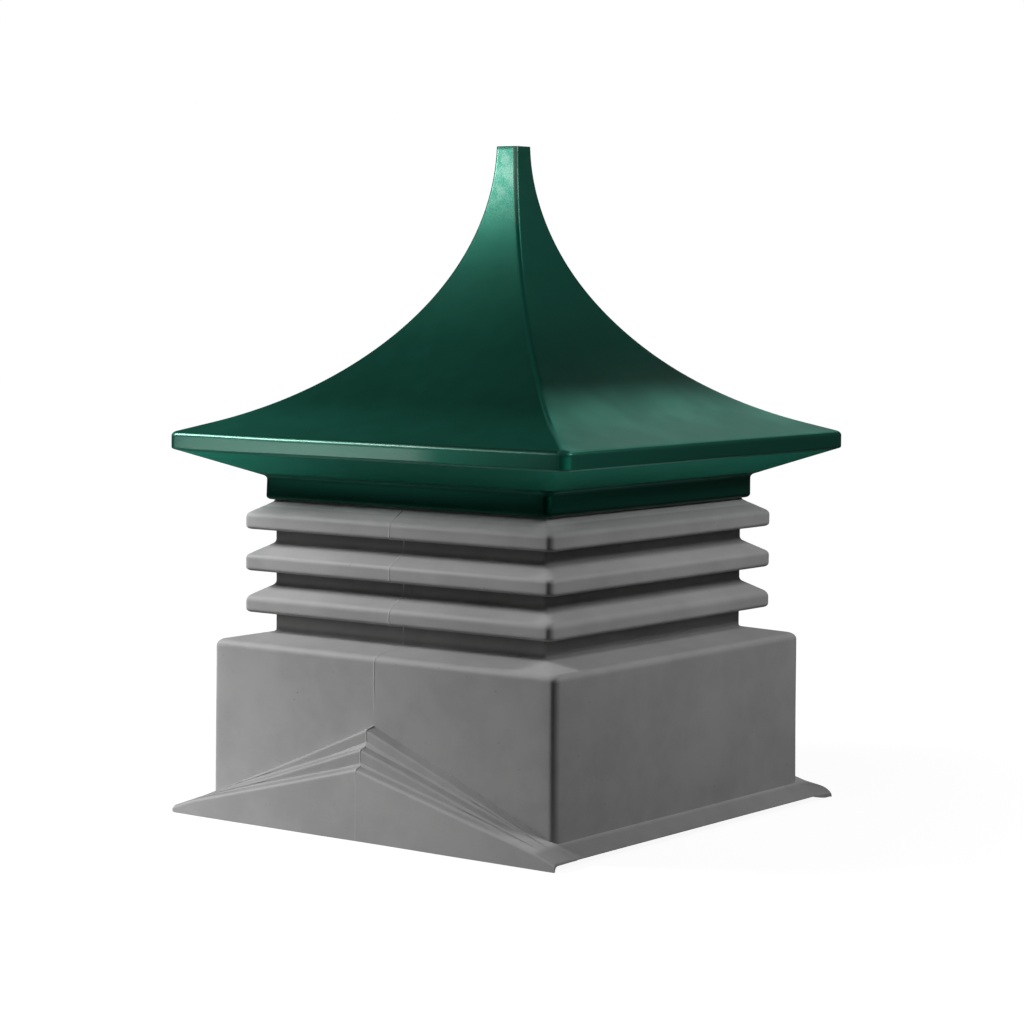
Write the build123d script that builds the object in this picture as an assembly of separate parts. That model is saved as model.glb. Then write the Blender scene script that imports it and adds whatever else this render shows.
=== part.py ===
"""Square louvred cupola for a small gable roof, moulded in two colours.

A hollow grey body (stepped saddle skirts, box, shoulder, neck and three tiers of
closed louvres) carries a hollow green bell-cast roof, whose collar sleeves over the
neck and seats on its top edge.  Millimetres, +Z up, origin at the centre of the
rectangle on which the two gable skirts stand, front gable side towards -Y.
"""
from build123d import *
import math
import os

# ---- driving dimensions -------------------------------------------------------
skin = 4.5                 # thickness of every moulded wall

# Base box and the shoulder that leads up to the neck.
box_side = 458.0           # outside
box_height = 187.0         # level of its top corner line
box_arris = 8.5            # radius of its upright corners
box_edge = 7.5             # radius of its top edge
shoulder_run = 47.5        # level distance from box to neck
shoulder_rise = 8.8

# Neck and louvres.
neck_arris = 4.0
neck_strip = 21.2          # bare strip of neck under the lowest louvre
louvre_pitch = 45.0
louvre_reach = 24.5        # how far a nose stands out of the neck
louvre_nose = 16.5         # height of the upright nose
louvre_angle = 30.0        # slope of the louvre's top, degrees
louvre_arris = 8.0
louvre_edge = 6.0          # radius of the nose's upper edge
louvre_lip = 2.0           # radius of its lower edge

# Roof: collar, soffit, fascia, bell-cast slope and peak.
collar_gap = 1.3           # from the top louvre to the collar
collar_stand = 9.0         # how far the collar stands out of the neck
collar_depth = 25.0
collar_arris = 8.0
collar_edge = 4.0
soffit_reach = 73.5        # from the collar out to the eave
soffit_rise = 30.0
fascia_height = 17.4
fascia_edge = 5.5
hip_round = 4.5            # radius along the hips and eave corners, less than fascia_edge
eave_flat = 33.0           # straight foot of the slope, along the slope
bell_run = 71.3            # how far the concave arc turns from upright, degrees
peak_half = 14.0           # half width where the arc would stand upright
peak_cut = 7.0             # the peak is cut off this far below that level
stub_length = 25.0         # solid length of the peak
stub_arris = 3.0
rod_bore = 16.2            # bore that takes a finial or vane rod

# Gable skirts: upper step, middle step and lower panel, each on a roof's pitch.
step_pitches = (5.0, 4.0, 3.0)        # rise in pitch_base
pitch_base = 12.0
step_depths = (11.0, 12.0, 12.0)      # how far each stands out of the one above
eave_line = 18.8           # level where the pitch lines meet the box corner
ridge_fall = 3.0           # fall across each ledge at the ridge
eave_fall = 1.0            # fall across each ledge at the box corner
step_bevel = 2.0           # softening of the upper and middle ledges' outer edges
panel_round = 3.0          # radius of the lower panel's top edge
panel_cove = 7.5           # hollow between the lower panel and its ledge, inside

# Eave flanges.
flange_reach = 25.0        # out from the side wall
flange_thick = 3.5

# ---- dimensions that follow ---------------------------------------------------
box_half = box_side / 2
neck_half = box_half - shoulder_run
nose_half = neck_half + louvre_reach
collar_half = neck_half + collar_stand
eave_half = collar_half + soffit_reach
flange_half = box_half + flange_reach

louvre_tan = math.tan(math.radians(louvre_angle))
louvre_rise = louvre_nose + louvre_reach * louvre_tan
tiers = ("lower_louvre", "middle_louvre", "upper_louvre")
shoulder_top = box_height + shoulder_rise
louvre_lows = [shoulder_top + neck_strip + tier * louvre_pitch for tier in range(len(tiers))]

collar_bottom = louvre_lows[-1] + louvre_rise + collar_gap
soffit_root = collar_bottom + collar_depth
soffit_slope = soffit_rise / soffit_reach
soffit_skin = skin * math.hypot(1, soffit_slope)
collar_top = soffit_root + soffit_skin
neck_top = collar_top - skin
fascia_top = soffit_root + soffit_rise + fascia_height

bell_turn = math.radians(bell_run)
bell_foot = eave_half - eave_flat * math.sin(bell_turn)
bell_radius = (bell_foot - peak_half) / (1 - math.cos(bell_turn))
bell_level = fascia_top + eave_flat * math.cos(bell_turn) + bell_radius * math.sin(bell_turn)
roof_top = bell_level - peak_cut
stub_base = roof_top - stub_length

reach = 2 * (eave_half + roof_top)    # larger than anything on the cupola
turns = {"front": 0, "right": 90, "back": 180, "left": 270}


# ---- shapes used all over -----------------------------------------------------
def post(half, radius, low, high):
    """Upright prism on a rounded square."""
    return Pos(0, 0, low) * extrude(RectangleRounded(2 * half, 2 * half, radius), high - low)


def layer(low, high):
    """Everything between two levels."""
    return Pos(0, 0, (low + high) / 2) * Box(reach, reach, high - low)


def wedge():
    """Front quarter of everything, between the two mitre planes."""
    return extrude(make_face(Polyline((0, 0), (-reach, -reach), (reach, -reach), close=True)), reach)


def front_bar(corners):
    """Moulding along the front, mitred at both ends.

    Each corner of its section is (distance out from the centre, level, radius).
    """
    section = make_face(Plane.YZ * Polyline(*[(-out, level) for out, level, radius in corners], close=True))
    for out, level, radius in corners:
        if radius > 0:
            section = fillet(section.vertices().sort_by_distance((0, -out, level))[0], radius)
    return extrude(section, reach / 2, both=True) & wedge()


def tube_side(half, radius, low, high):
    """Front quarter of an upright square tube, rounded outside."""
    inside = 2 * (half - skin)
    return (post(half, radius, low, high) & wedge()) - Box(inside, inside, reach)


def write(name, solid):
    export_step(solid, os.path.join("parts", name + ".step"))


def write_pair(names, piece):
    """Write a piece and its copy on the opposite side."""
    write(names[0], piece)
    write(names[1], Rot(0, 0, 180) * piece)


def write_four(name, piece):
    """Write a front piece and its three copies turned about the upright axis."""
    for side, turn in turns.items():
        write(side + "_" + name, Rot(0, 0, turn) * piece)


# ---- gable skirts -------------------------------------------------------------
def root_depth(step):
    """Distance from the centre to the foot of the step above, where a ledge starts."""
    return box_half + sum(step_depths[:step])


def ledge_level(step, across, out):
    """Level of a ledge, across from the ridge, at its root (out = 0) or its lip (out = 1)."""
    ridge = eave_line + box_half * step_pitches[step] / pitch_base + ridge_fall * (0.5 - out)
    corner = eave_line + eave_fall * (len(step_pitches) / 2 - step - out)
    return ridge + (corner - ridge) * across / box_half


def gable_face(step, half_width, depth, out, drop):
    """Upright gable-shaped face under a ledge line, lowered by drop, at a depth."""
    ridge = ledge_level(step, 0, out) - drop
    end = ledge_level(step, half_width, out) - drop
    points = [(-half_width, -drop), (half_width, -drop), (half_width, end), (0, ridge), (-half_width, end)]
    return make_face(Polyline(*[(x, -depth, z) for x, z in points], close=True))


def pitch_skin(step):
    """Skin measured straight down through a ledge."""
    return skin * math.hypot(1, step_pitches[step] / pitch_base)


def gable_prism(step, half_width, depth, drop):
    """Everything under a ledge's root line, from the centre out to a depth."""
    return extrude(gable_face(step, half_width, depth, 0, drop), depth, dir=(0, 1, 0))


def skirt_hollow(step):
    """Room inside the skirt under one ledge."""
    drop = pitch_skin(step)
    width = flange_half + skin
    root = root_depth(step)
    lip = root + step_depths[step] - skin
    out = 1 - skin / step_depths[step]
    room = loft([gable_face(step, width, root, 0, drop), gable_face(step, width, lip, out, drop)], ruled=True)
    if step == len(step_pitches) - 1:
        cove = [e for e in room.edges() if abs(e.center().Y + lip) < 0.01
                and e.center().Z > 0 and abs(e.center().X) < width - 1]
        room = fillet(cove, panel_cove)
    return room + gable_prism(step, width, root, drop)


def skirt_steps():
    """The nested shells of the front skirt, upper step first."""
    hollow = skirt_hollow(0) + skirt_hollow(1) + skirt_hollow(2)
    pieces = []
    for step in range(len(step_pitches)):
        root = root_depth(step)
        lip = root + step_depths[step]
        block = loft([gable_face(step, flange_half, root, 0, 0), gable_face(step, flange_half, lip, 1, 0)],
                     ruled=True)
        crest = [e for e in block.edges() if abs(e.center().Y + lip) < 0.01
                 and e.center().Z > 1 and abs(e.center().X) < flange_half - 1]
        lowest = step == len(step_pitches) - 1
        block = fillet(crest, panel_round) if lowest else chamfer(crest, step_bevel)
        pieces.append(block - hollow)
    return pieces


# ---- box, flanges and shoulder ------------------------------------------------
def gable_wall():
    """Front wall of the box, cut below to the upper pitch line."""
    side = tube_side(box_half, box_arris, 0, box_height - box_edge)
    return side - gable_prism(0, flange_half, root_depth(0) + skin, pitch_skin(0))


def flange_drop(out):
    """Fall of the eave flange at a distance out from the box, on the upper pitch."""
    return out * step_pitches[0] / pitch_base


def eave_wall():
    """Side wall of the box, down to the underside of its flange."""
    foot = ledge_level(0, box_half, 0) - flange_thick
    return Rot(0, 0, 90) * tube_side(box_half, box_arris, foot, box_height - box_edge)


def eave_flange():
    """Flange along the right side, sloping out and down on the upper pitch."""
    root = ledge_level(0, box_half, 0)
    tip = root - flange_drop(flange_reach)
    points = [(box_half, root), (flange_half, tip), (flange_half, tip - flange_thick),
              (box_half, root - flange_thick)]
    face = make_face(Plane.XZ * Polyline(*points, close=True))
    return extrude(face, box_half, both=True)


def shoulder():
    """Rounded top edge of the box and the slope up to the neck."""
    low = box_height - box_edge
    slope = shoulder_rise / shoulder_run
    inside = box_height + skin * slope - skin * math.hypot(1, slope)
    bar = front_bar([(box_half, low, 0), (box_half, box_height, box_edge), (neck_half, shoulder_top, 0),
                     (neck_half - skin, shoulder_top, 0), (neck_half - skin, inside + shoulder_rise, 0),
                     (box_half - skin, inside, box_edge - skin), (box_half - skin, low, 0)])
    return bar & post(box_half, box_arris, low, shoulder_top)


# ---- neck and louvres ---------------------------------------------------------
def louvre(low):
    """Hollow fold with a sloping top, an upright rounded nose and a flat underside."""
    brow = low + louvre_nose
    top = low + louvre_rise
    inside = brow + skin * louvre_tan - skin * math.hypot(1, louvre_tan)
    bar = front_bar([(neck_half, low, 0), (nose_half, low, louvre_lip), (nose_half, brow, louvre_edge),
                     (neck_half, top, 0), (neck_half - skin, top, 0),
                     (neck_half - skin, inside + louvre_reach * louvre_tan, 0),
                     (nose_half - skin, inside, louvre_edge - skin), (nose_half - skin, low + skin, 0),
                     (neck_half - skin, low + skin, 0), (neck_half - skin, low, 0)])
    return bar & post(nose_half, louvre_arris, low, top)


def neck():
    """The bare strips of the neck, under, between and over the louvres."""
    lows = [shoulder_top] + [low + louvre_rise for low in louvre_lows]
    highs = louvre_lows + [neck_top]
    return Compound([tube_side(neck_half, neck_arris, low, high) for low, high in zip(lows, highs)])


# ---- roof ---------------------------------------------------------------------
def collar():
    """Channel that sleeves over the neck: lower lip, upright web, seat on the neck's top."""
    bar = front_bar([(neck_half, collar_bottom, 0), (collar_half, collar_bottom, collar_edge),
                     (collar_half, collar_top, 0), (neck_half - skin, collar_top, 0),
                     (neck_half - skin, neck_top, 0), (collar_half - skin, neck_top, 0),
                     (collar_half - skin, collar_bottom + skin, 0), (neck_half, collar_bottom + skin, 0)])
    return bar & post(collar_half, collar_arris, collar_bottom, collar_top)


def soffit():
    """Sloping board from the collar out to the inside of the fascia."""
    inside = eave_half - skin
    rise = soffit_slope * (inside - collar_half)
    return front_bar([(collar_half, soffit_root, 0), (inside, soffit_root + rise, 0),
                      (inside, collar_top + rise, 0), (collar_half, collar_top, 0)])


def roof_section(inset):
    """Upright section of the roof moved in by inset: fascia, straight foot, bell arc, cut peak."""
    sweep_radius = bell_radius + inset
    centre_out = peak_half + bell_radius
    half = eave_half - inset

    def on_arc(turn):
        return (centre_out - sweep_radius * math.cos(turn), bell_level - sweep_radius * math.sin(turn))

    foot = on_arc(bell_turn)
    crown_turn = math.asin(peak_cut / sweep_radius)
    peak = on_arc(crown_turn)
    eave = (half, foot[1] - (half - foot[0]) / math.tan(bell_turn))
    right = [Line((half, soffit_root), eave), Line(eave, foot),
             ThreePointArc(foot, on_arc((bell_turn + crown_turn) / 2), peak)]
    left = [mirror(edge, Plane.YZ) for edge in right]
    face = make_face(right + left + [Line(peak, (-peak[0], peak[1])), Line((half, soffit_root), (-half, soffit_root))])
    corners = [v for v in face.vertices() if abs(abs(v.X) - half) < 0.01 and v.Y > soffit_root + 1]
    return fillet(corners, max(fascia_edge - inset, 1.0))


def roof_block(inset):
    """The roof section run both ways and kept where the two runs meet."""
    along = extrude(Plane.XZ * roof_section(inset), reach / 2, both=True)
    return along & (Rot(0, 0, 90) * along)


def roof_slope():
    """Bell-cast slope with its fascia, hollow below, rounded along its hips."""
    block = roof_block(0)
    hips = [e for e in block.edges() if abs(abs(e.center().X) - abs(e.center().Y)) < 0.01
            and e.bounding_box().size.Z > 0.01]
    shell = fillet(hips, hip_round) - roof_block(skin)
    eave = soffit_root + soffit_rise
    under = front_bar([(0, 0, 0), (eave_half + skin, 0, 0), (eave_half + skin, eave + skin * soffit_slope, 0),
                       (collar_half, soffit_root, 0), (0, soffit_root, 0)])
    return (shell & layer(0, stub_base) & wedge()) - under


def peak_stub():
    """Solid square peak with the upright bore for a rod."""
    block = roof_block(0) & layer(stub_base, roof_top)
    foot_turn = math.asin((bell_level - stub_base) / bell_radius)
    foot_half = peak_half + bell_radius * (1 - math.cos(foot_turn))
    block = block & post(foot_half, stub_arris, stub_base, roof_top)
    return block - Pos(0, 0, roof_top) * Cylinder(rod_bore / 2, 4 * stub_length)


# ---- write every piece --------------------------------------------------------
os.makedirs("parts", exist_ok=True)

write_pair(("front_wall", "back_wall"), gable_wall())
write_pair(("right_wall", "left_wall"), eave_wall())
for step_name, step_piece in zip(("upper_step", "middle_step", "lower_panel"), skirt_steps()):
    write_pair(("front_" + step_name, "back_" + step_name), step_piece)
write_pair(("right_flange", "left_flange"), eave_flange())
write_four("shoulder", shoulder())
write_four("neck", neck())
for tier_name, tier_low in zip(tiers, louvre_lows):
    write_four(tier_name, louvre(tier_low))
write_four("collar", collar())
write_four("soffit", soffit())
write_four("roof_slope", roof_slope())
write("peak_stub", peak_stub())
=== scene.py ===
"""Looks of the square louvred cupola: a moulded grey body under a moulded green bell-cast roof.

Lengths are millimetres and are turned to metres when a mesh is made.  The finishes, the
camera and the lamps are in metres.  Every surface is a section carried round a rounded
square, or a section whose corners change from one end of a run to the other.
"""
import bpy
import math
import numpy as np
from mathutils import Matrix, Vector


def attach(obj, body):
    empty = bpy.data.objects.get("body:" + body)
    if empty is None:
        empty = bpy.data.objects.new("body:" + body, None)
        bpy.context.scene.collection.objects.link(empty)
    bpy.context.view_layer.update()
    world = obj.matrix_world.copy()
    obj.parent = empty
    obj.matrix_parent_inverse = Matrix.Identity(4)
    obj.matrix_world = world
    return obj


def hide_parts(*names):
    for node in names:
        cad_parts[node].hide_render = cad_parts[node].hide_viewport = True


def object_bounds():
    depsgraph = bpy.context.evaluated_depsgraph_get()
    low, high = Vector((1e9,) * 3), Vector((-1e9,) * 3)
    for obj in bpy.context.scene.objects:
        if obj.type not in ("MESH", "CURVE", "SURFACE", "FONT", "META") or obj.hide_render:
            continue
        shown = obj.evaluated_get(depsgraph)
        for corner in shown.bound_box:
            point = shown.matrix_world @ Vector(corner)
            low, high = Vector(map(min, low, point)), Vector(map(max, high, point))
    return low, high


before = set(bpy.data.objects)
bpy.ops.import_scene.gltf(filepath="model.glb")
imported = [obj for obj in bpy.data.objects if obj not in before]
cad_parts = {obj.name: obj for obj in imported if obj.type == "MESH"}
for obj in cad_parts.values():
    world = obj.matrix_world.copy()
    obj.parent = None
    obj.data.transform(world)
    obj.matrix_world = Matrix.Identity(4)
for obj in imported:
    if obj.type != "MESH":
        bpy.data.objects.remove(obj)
cad_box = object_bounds()
METRES = 0.001
BOX_LOW, BOX_HIGH = (np.array(corner) / METRES for corner in cad_box)

# ---- sizes: the part's own, and how this one moulding came out --------------------
SKIN = 4.5
BOX_HALF, BOX_HEIGHT, BOX_ARRIS, BOX_EDGE = 229.0, 187.0, 8.5, 7.5
BOX_DRAFT = 1.2                     # how far the box's foot stands out, so that it leaves the mould
NECK_HALF, NECK_ARRIS = 181.5, 4.0
SHOULDER_TOP, NECK_TOP = 195.8, 364.306
NOSE_HALF, LOUVRE_ARRIS = 206.0, 8.0
LOUVRE_LOWS, LOUVRE_NOSE, LOUVRE_RISE = (217.0, 262.0, 307.0), 16.5, 30.645
LOUVRE_ROOT, LOUVRE_LIP, LOUVRE_HEAD = 1.2, 4.2, 8.0    # radii from the foot of a louvre to its head
LOUVRE_EDGES = (9.0, 6.0, 6.5)      # the lowest nose came out of the mould the roundest
COLLAR_HALF, COLLAR_LOW, COLLAR_ARRIS, COLLAR_EDGE = 190.5, 338.945, 8.0, 4.0
SOFFIT_ROOT, SOFFIT_RISE, COVE, COVE_RADIUS = 363.945, 30.0, 9.0, 5.0
EAVE_HALF, FASCIA_TOP, FASCIA_FOOT, FASCIA_EDGE, EAVE_CORNER = 264.0, 411.345, 2.4, 5.5, 12.0
FOOT_HALF, FOOT_LEVEL = 232.742, 421.926
BELL_CENTRE, BELL_LEVEL, BELL_RADIUS = 335.966, 726.898, 321.966
ROOF_TOP, STUB_LOW, ROD_BORE, HIP_ROUND = 719.898, 694.898, 16.2, 4.0
EAVE_LINE, PITCHES = 18.8, (5 / 12, 4 / 12, 3 / 12)
RIDGE_FALL, CORNER_FALL = 3.0, 1.0  # fall across each ledge at the ridge and at the box corner
DEPTHS = (229.0, 242.5, 254.0, 263.6)   # box wall, upper and middle step, panel with room for its seam
FLANGE_TOP = EAVE_LINE + 1.5 * CORNER_FALL
FLANGE_HALF, FLANGE_THICK, FLANGE_LIP, FLANGE_FALL = 254.0, 3.5, 1.6, 0.493
LEFT_REACH = 258.0                  # the left flange came out of the mould a little wider

SIDES = ("front", "right", "back", "left")


# ---- sections -----------------------------------------------------------------
GRIP = 0.46


def soften(corners, radii, steps=6, grips=None):
    """Turn each corner of a closed section on an arc.

    corners is (sections, corners, 2), and radii one number for each corner.  An arc is
    the rational quadratic curve from where it leaves one run, by way of the corner with
    the cosine of half the turn as its weight, to where it joins the next.  The arc
    shrinks where a run is too short for it: grips gives the share of the shorter run that
    each arc may take, GRIP if nothing is said.  Radius 0 keeps the corner.  A point just
    before and just after each arc keeps the shading of the flats clear of the bend.
    """
    grips = grips or [GRIP] * len(radii)
    corners = np.asarray(corners, float)
    if corners.ndim == 2:
        corners = corners[None]
    before = np.roll(corners, 1, 1) - corners
    after = np.roll(corners, -1, 1) - corners
    before_run = np.linalg.norm(before, axis=2)
    after_run = np.linalg.norm(after, axis=2)
    before = before / np.maximum(before_run, 1e-9)[..., None]
    after = after / np.maximum(after_run, 1e-9)[..., None]
    turn = np.pi - np.arccos(np.clip((before * after).sum(2), -1, 1))
    shares = np.linspace(0, 1, steps + 1)[:, None]
    out = []
    for k, radius in enumerate(radii):
        corner = corners[:, k, None, :]
        if radius <= 0:
            out.append(corner)
            continue
        room = grips[k] * np.minimum(before_run[:, k], after_run[:, k])
        trim = np.minimum(radius * np.tan(turn[:, k] / 2), room)[:, None, None]
        start = corner + before[:, k, None, :] * trim
        end = corner + after[:, k, None, :] * trim
        weight = np.cos(turn[:, k] / 2)[:, None, None]
        parts = (1 - shares) ** 2, 2 * shares * (1 - shares) * weight, shares ** 2
        arc = (parts[0] * start + parts[1] * corner + parts[2] * end) / sum(parts)
        spare = np.minimum(before_run[:, k], after_run[:, k]) - trim[:, 0, 0]
        lead = np.minimum(0.9, 0.3 * np.minimum(room, spare))[:, None, None]
        out += [start + before[:, k, None, :] * lead, arc, end + after[:, k, None, :] * lead]
    return np.concatenate(out, 1)


def spaced(section, gap):
    """Add points along a closed section so that no run is longer than gap."""
    ends = np.roll(section, -1, 0)
    runs = np.linalg.norm(ends - section, axis=1)
    pieces = [a + (b - a) * np.linspace(0, 1, max(1, math.ceil(run / gap)), endpoint=False)[:, None]
              for a, b, run in zip(section, ends, runs)]
    return np.concatenate(pieces)


# ---- forms --------------------------------------------------------------------
SIDE_CELLS, CORNER_CELLS = 36, 8


def square_pattern():
    """One turn of a rounded square: its share of the straight square and of the corner arcs.

    A point is (half - radius) * square + radius * arc.
    """
    square, arc = [], []
    for quarter in range(4):
        turn = quarter * math.pi / 2
        spin = np.array(((math.cos(turn), math.sin(turn)), (-math.sin(turn), math.cos(turn))))
        along = np.linspace(-1, 1, SIDE_CELLS + 1)
        side = np.column_stack((along, -np.ones_like(along)))
        square.append(side @ spin)
        arc.append(np.tile((0.0, -1.0), (len(along), 1)) @ spin)
        bend = np.linspace(0, math.pi / 2, CORNER_CELLS + 1)[1:-1]
        square.append(np.tile((1.0, -1.0), (len(bend), 1)) @ spin)
        arc.append(np.column_stack((np.sin(bend), -np.cos(bend))) @ spin)
    return np.concatenate(square), np.concatenate(arc)


SQUARE, ARC = square_pattern()


def carried_round(section, radius):
    """A section of (half width, level) carried round a rounded square.

    radius is the corner radius, one number or one for each point of the section.
    """
    half, level = section[:, 0, None, None], section[:, 1, None]
    radius = np.broadcast_to(np.asarray(radius, float), len(section))[:, None, None]
    radius = np.minimum(radius, half)
    plan = (half - radius) * SQUARE + radius * ARC
    return np.dstack((plan, np.broadcast_to(level, plan.shape[:2])))


def settle(points):
    """The slight unevenness of a large moulding.

    A few long waves, each under a quarter of a millimetre, and the front mould seam
    standing 3.4 mm left of the middle above the skirt, fading out towards the corners.
    """
    x, y, z = (points[..., k] / 100 for k in range(3))
    points = points.copy()
    ramp = np.clip((z - 0.72) / 0.42, 0, 1) * np.clip((3.6 - z) / 0.2, 0, 1) * np.clip(-y / 1.5, 0, 1)
    points[..., 0] -= 3.4 * ramp * np.clip(1 - (x / 2.29) ** 2, 0, 1)
    points[..., 0] += 0.16 * np.sin(1.9 * y + 1.3 * z + 0.4) + 0.09 * np.sin(4.3 * z - 2.7 * y)
    points[..., 1] += 0.16 * np.sin(1.7 * x - 1.5 * z + 1.1) + 0.09 * np.sin(3.9 * x + 3.1 * z)
    points[..., 2] += 0.14 * np.sin(2.1 * x + 1.1) * np.sin(1.8 * y + 0.6)
    return points


def quads(rows, columns, close_rows, close_columns):
    """Corner numbers of the quads of a grid, closed on itself either way."""
    row = np.arange(rows if close_rows else rows - 1)[:, None]
    column = np.arange(columns if close_columns else columns - 1)[None]
    below, above = row * columns, (row + 1) % rows * columns
    right = (column + 1) % columns
    return np.stack((below + column, below + right, above + right, above + column), -1).reshape(-1, 4)


def make_piece(name, points, material, stands_for=(), ends=False, crease=32):
    """A closed mesh object from a grid of points in millimetres.

    Rows run along a section and close on themselves.  Columns close too, unless the
    piece has ends: then the first and the last column get flat caps.  Where the volume
    under the faces comes out negative, the faces are turned round, so that they point out.
    Edges that turn by more than crease, in degrees, stay sharp.
    """
    points = np.clip(settle(points), BOX_LOW, BOX_HIGH)
    rows, columns = points.shape[:2]
    faces = quads(rows, columns, True, not ends)
    a, b, c, d = (points.reshape(-1, 3)[faces[:, k]] for k in range(4))
    volume = (np.cross(b - a, c - a) * a).sum() + (np.cross(c - a, d - a) * a).sum()
    faces = faces.tolist()
    if ends:
        grid = np.arange(rows * columns).reshape(rows, columns)
        faces += [grid[:, 0].tolist(), grid[::-1, -1].tolist()]
    if volume < 0:
        faces = [face[::-1] for face in faces]
    mesh = bpy.data.meshes.new(name)
    mesh.from_pydata((points.reshape(-1, 3) * METRES).tolist(), [], faces)
    mesh.validate()
    mesh.shade_smooth()
    mesh.set_sharp_from_angle(angle=math.radians(crease))
    mesh.materials.append(material)
    piece = bpy.data.objects.new(name, mesh)
    bpy.context.scene.collection.objects.link(piece)
    if stands_for:
        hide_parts(*stands_for)
    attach(piece, "root")


# ---- shader helpers -------------------------------------------------------------
def new_group(name, inputs, outputs):
    """An empty shader group with float and vector sockets: the group, its source and its sink."""
    group = bpy.data.node_groups.new(name, "ShaderNodeTree")
    for label, kind, value in inputs:
        socket = group.interface.new_socket(label, in_out="INPUT", socket_type=kind)
        if value is not None:
            socket.default_value = value
    for label, kind in outputs:
        group.interface.new_socket(label, in_out="OUTPUT", socket_type=kind)
    nodes = group.nodes
    return group, nodes.new("NodeGroupInput"), nodes.new("NodeGroupOutput")


def wire(tree, *pairs):
    """Link the first socket of each pair to the second."""
    for source, target in pairs:
        tree.links.new(source, target)


def feed(tree, value, socket):
    """Give a socket its value: the output of a node, or a plain number or colour."""
    if isinstance(value, bpy.types.NodeSocket):
        tree.links.new(value, socket)
    else:
        socket.default_value = value


def noise(tree, place, scale, detail=2.0, rough=0.5):
    """Clouds between 0 and 1, with scale of them to the metre."""
    node = tree.nodes.new("ShaderNodeTexNoise")
    for label, value in (("Vector", place), ("Scale", scale), ("Detail", detail), ("Roughness", rough)):
        feed(tree, value, node.inputs[label])
    return node.outputs["Fac"]


def maths(tree, kind, *values):
    """One step of arithmetic on one or two values."""
    node = tree.nodes.new("ShaderNodeMath")
    node.operation = kind
    for value, socket in zip(values, node.inputs):
        feed(tree, value, socket)
    return node.outputs[0]


def chained(tree, kind, values):
    """The same step of arithmetic from the first value to the last."""
    result = values[0]
    for value in values[1:]:
        result = maths(tree, kind, result, value)
    return result


def total(tree, *values):
    """Values added together."""
    return chained(tree, "ADD", values)


def product(tree, *values):
    """Values multiplied together."""
    return chained(tree, "MULTIPLY", values)


def scaled(tree, vector, factor):
    """A place or a colour times a factor."""
    node = tree.nodes.new("ShaderNodeVectorMath")
    node.operation = "SCALE"
    feed(tree, vector, node.inputs[0])
    feed(tree, factor, node.inputs["Scale"])
    return node.outputs["Vector"]


def axes(tree, vector):
    """The three parts of a vector."""
    node = tree.nodes.new("ShaderNodeSeparateXYZ")
    wire(tree, (vector, node.inputs[0]))
    return tuple(node.outputs)


def mixed(tree, share, first, second):
    """Two colours mixed by a share."""
    node = tree.nodes.new("ShaderNodeMix")
    node.data_type = "RGBA"
    for value, index in ((share, 0), (first, 6), (second, 7)):
        feed(tree, value, node.inputs[index])
    return node.outputs[2]


def spread(tree, value, low, high, out_low, out_high):
    """A value taken smoothly from the range low to high into the range out_low to out_high."""
    node = tree.nodes.new("ShaderNodeMapRange")
    node.interpolation_type = "SMOOTHSTEP"
    labels = ("Value", "From Min", "From Max", "To Min", "To Max")
    for label, number in zip(labels, (value, low, high, out_low, out_high)):
        feed(tree, number, node.inputs[label])
    return node.outputs["Result"]


def rise(tree, value, low, high, top=1.0):
    """Nothing below low, and smoothly up to top at high."""
    return spread(tree, value, low, high, 0.0, top)


def fall(tree, value, low, high, top=1.0):
    """top below low, and smoothly down to nothing at high."""
    return spread(tree, value, low, high, top, 0.0)


# ---- effects that several finishes share ------------------------------------------
def moulded_group():
    """Skin of a moulding: cloudy tone, pinprick specks and a fine leathery grain.

    The cloud is 0.7 of a broad noise and 0.3 of a finer one.  A speck is the middle of a
    Voronoi cell, where a coarser noise is high enough to choose it.  The height is a quarter
    of the grain and all of a slow ripple.
    """
    group, source, sink = new_group("moulded_skin", [
        ("Place", "NodeSocketVector", None), ("Cloud Scale", "NodeSocketFloat", 9.0),
        ("Grain Scale", "NodeSocketFloat", 420.0), ("Speck Scale", "NodeSocketFloat", 130.0)],
        [("Cloud", "NodeSocketFloat"), ("Specks", "NodeSocketFloat"), ("Height", "NodeSocketFloat")])

    def place(label, factor=1.0):
        """Place at one of the scales, times a factor."""
        return scaled(group, source.outputs["Place"], product(group, source.outputs[label], factor))

    broad = noise(group, place("Cloud Scale"), 1.0, 3.0, 0.55)
    small = noise(group, place("Cloud Scale", 5.3), 1.0, 2.0, 0.6)
    cloud = total(group, product(group, broad, 0.7), product(group, small, 0.3))
    dots = group.nodes.new("ShaderNodeTexVoronoi")
    dots.inputs["Scale"].default_value = 1.0
    wire(group, (place("Speck Scale"), dots.inputs["Vector"]))
    chosen = noise(group, place("Speck Scale", 0.35), 1.0, 0.0)
    specks = product(group, fall(group, dots.outputs["Distance"], 0.06, 0.22),
                     rise(group, chosen, 0.69, 0.77))
    grain = noise(group, place("Grain Scale"), 1.0, 2.0, 0.6)
    ripple = noise(group, place("Cloud Scale", 2.1), 1.0, 1.0)
    height = total(group, product(group, grain, 0.25), ripple)
    wire(group, (cloud, sink.inputs["Cloud"]), (specks, sink.inputs["Specks"]),
         (height, sink.inputs["Height"]))
    return group


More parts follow.
